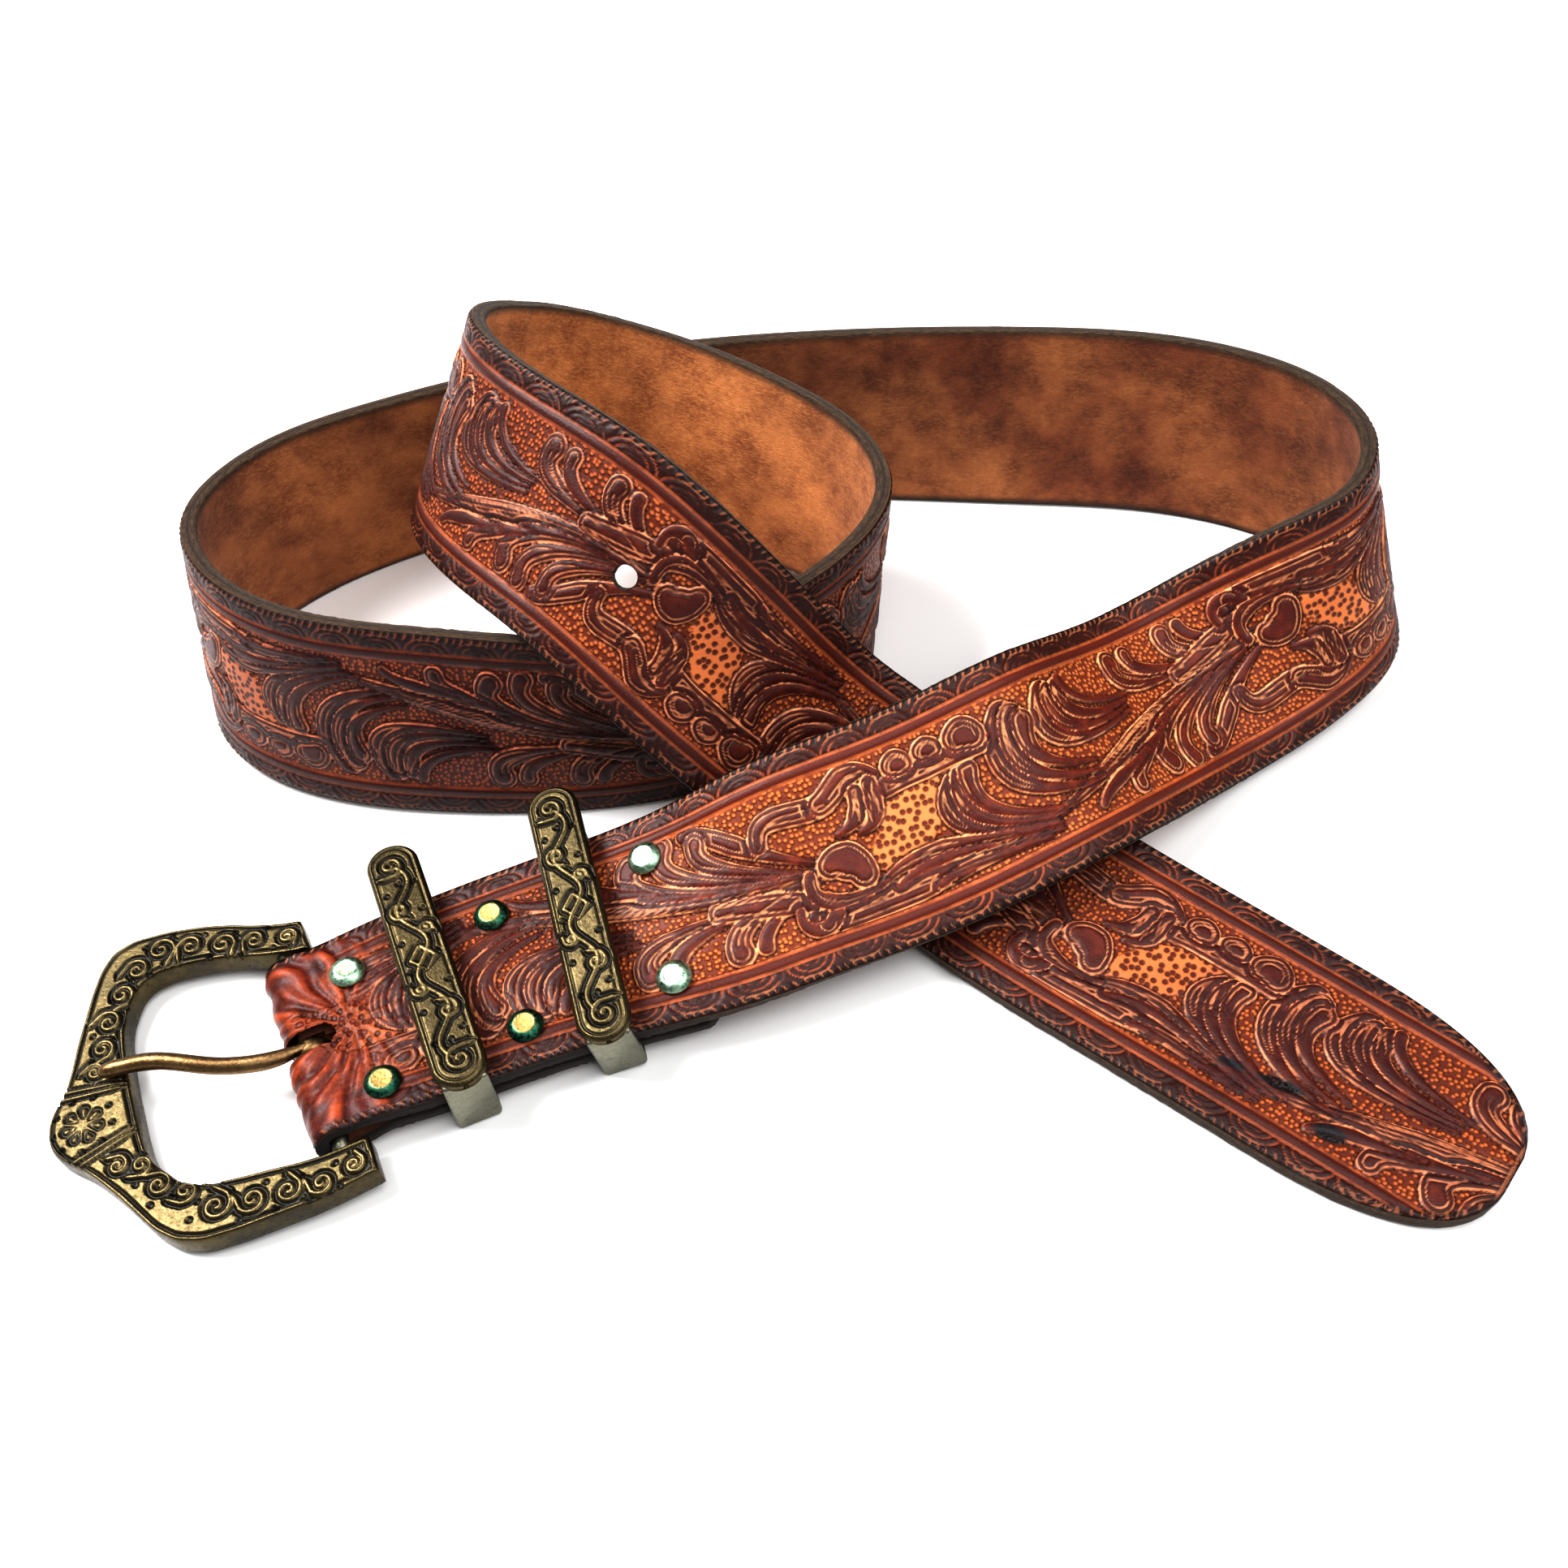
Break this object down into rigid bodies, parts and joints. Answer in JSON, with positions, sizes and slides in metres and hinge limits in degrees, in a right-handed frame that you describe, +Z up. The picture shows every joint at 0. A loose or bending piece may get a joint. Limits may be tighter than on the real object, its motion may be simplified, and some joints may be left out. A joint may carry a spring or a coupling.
{
  "type": "western tooled leather belt",
  "caption": "Floral-tooled leather strap lying loosely coiled, with an antique brass buckle and prong, metal strap loops and riveted turn-back.",
  "frame": {"origin": "middle of the bounding box in plan, on the surface the belt lies on", "axes": "+Z up from the surface; +X to the right and +Y away from the viewer in the picture"},
  "size_m": [0.2819, 0.2138, 0.0823],
  "materials": {
    "tooled_leather": "dyed mahogany, tooled and waxed",
    "antique_brass": "antiqued, dark in the recesses"
  },
  "bodies": {
    "belt": {"strap": "tooled_leather", "keeper_near": "antique_brass", "keeper_far": "antique_brass", "rivet_1": "antique_brass", "rivet_2": "antique_brass", "rivet_3": "antique_brass", "rivet_4": "antique_brass", "rivet_5": "antique_brass", "rivet_6": "antique_brass"},
    "buckle": {"buckle_frame": "antique_brass"},
    "tongue": {"prong": "antique_brass"}
  },
  "joints": [
    {"name": "buckle_hinge", "type": "hinge", "parent": "belt", "child": "buckle", "pos_m": [-0.09348, -0.05698, 0.00519], "axis": [-0.3587, 0.9334, 0.003], "range_deg": [-30, 45]},
    {"name": "prong_hinge", "type": "hinge", "parent": "buckle", "child": "tongue", "pos_m": [-0.09348, -0.05698, 0.00519], "axis": [-0.3587, 0.9334, 0.003], "range_deg": [0, 50]}
  ]
}
